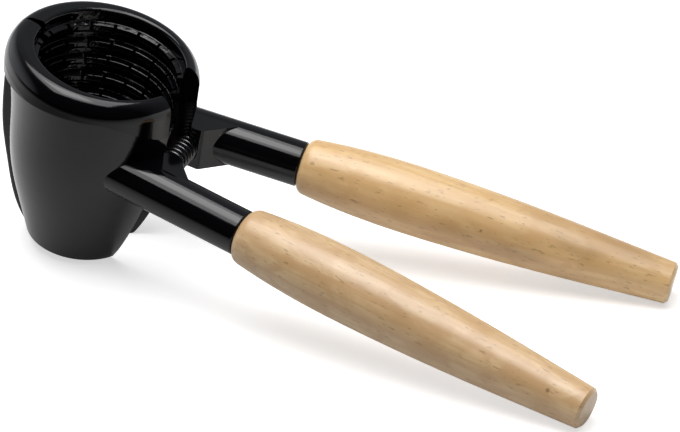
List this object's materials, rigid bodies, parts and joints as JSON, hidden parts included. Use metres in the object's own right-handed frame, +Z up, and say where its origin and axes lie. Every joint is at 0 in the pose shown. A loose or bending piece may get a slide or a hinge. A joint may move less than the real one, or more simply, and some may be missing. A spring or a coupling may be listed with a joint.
{
  "type": "walnut cracker",
  "caption": "Open plier-type cone nut cracker: two black enamelled half cups with toothed ledges, hinged at the back on a pin, a return spring between the arms and turned wooden handles",
  "frame": {"origin": "On the floor under the middle of the overall bounding box, with the tool at rest: it stands on the cup's base edge and both handle ends, so z = 0 is the surface it lies on.", "axes": "+X runs from the cup towards the handle ends, +Z is up, -Y is the side of the front jaw and handle, the near ones in the picture. The cup's own axis and the hinge axis lean 7.7 degrees from +Z towards +X."},
  "size_m": [0.2024, 0.086, 0.0723],
  "materials": {
    "black_enamel": "glossy",
    "steel": "satin",
    "spring_steel": "satin",
    "lacquered_wood": "clear lacquer"
  },
  "bodies": {
    "front": {"front_jaw": "black_enamel", "hinge_pin": "steel", "front_tang": "steel", "front_handle": "lacquered_wood", "return_spring": "spring_steel"},
    "rear": {"rear_jaw": "black_enamel", "rear_tang": "steel", "rear_handle": "lacquered_wood"}
  },
  "joints": [
    {"name": "jaw_hinge", "type": "hinge", "parent": "front", "child": "rear", "pos_m": [-0.09645, 0, 0.05274], "axis": [0.1347, 0, 0.9909], "range_deg": [-13, 0], "stiffness_Nm_per_rad": 6.2, "springref_deg": 2.29, "deforming": ["return_spring"]}
  ]
}
